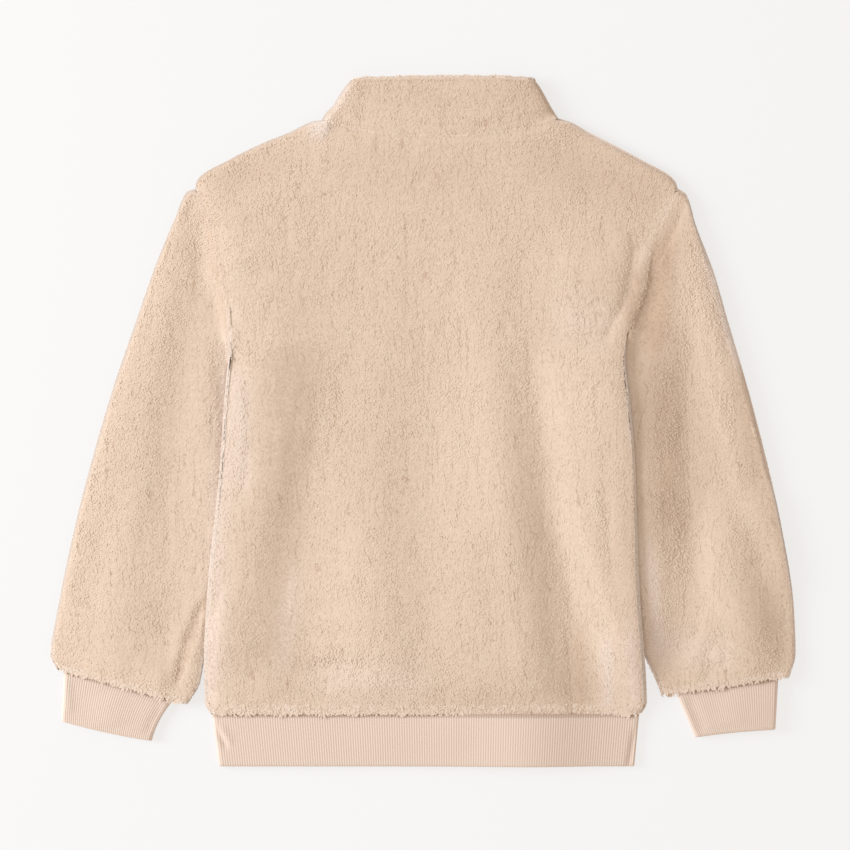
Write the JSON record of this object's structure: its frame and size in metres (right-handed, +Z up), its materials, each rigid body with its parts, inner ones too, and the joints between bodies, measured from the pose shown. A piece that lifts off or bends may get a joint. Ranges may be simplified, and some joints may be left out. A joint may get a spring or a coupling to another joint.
{
  "type": "fleece pullover",
  "caption": "Sherpa fleece pullover with a stand collar, set-in sleeves and a ribbed hem band and cuffs, laid flat with its back up and its sleeves tucked against its sides.",
  "frame": {"origin": "on the surface the garment lies on, under the middle of its outline", "axes": "+Z up, out of the garment's back; +Y towards the collar; +X towards the wearer's right sleeve, which is on the right as seen from above"},
  "size_m": [0.7474, 0.691, 0.0276],
  "materials": {
    "fleece": "pale sand sherpa fleece, matt curly pile",
    "rib_knit": "pale sand rib knit, matt"
  },
  "bodies": {
    "root": {"back_panel": "fleece", "front_panel": "fleece", "sleeve_left": "fleece", "sleeve_right": "fleece", "collar": "fleece", "hem_band": "rib_knit", "cuff_left": "rib_knit", "cuff_right": "rib_knit"}
  },
  "joints": []
}
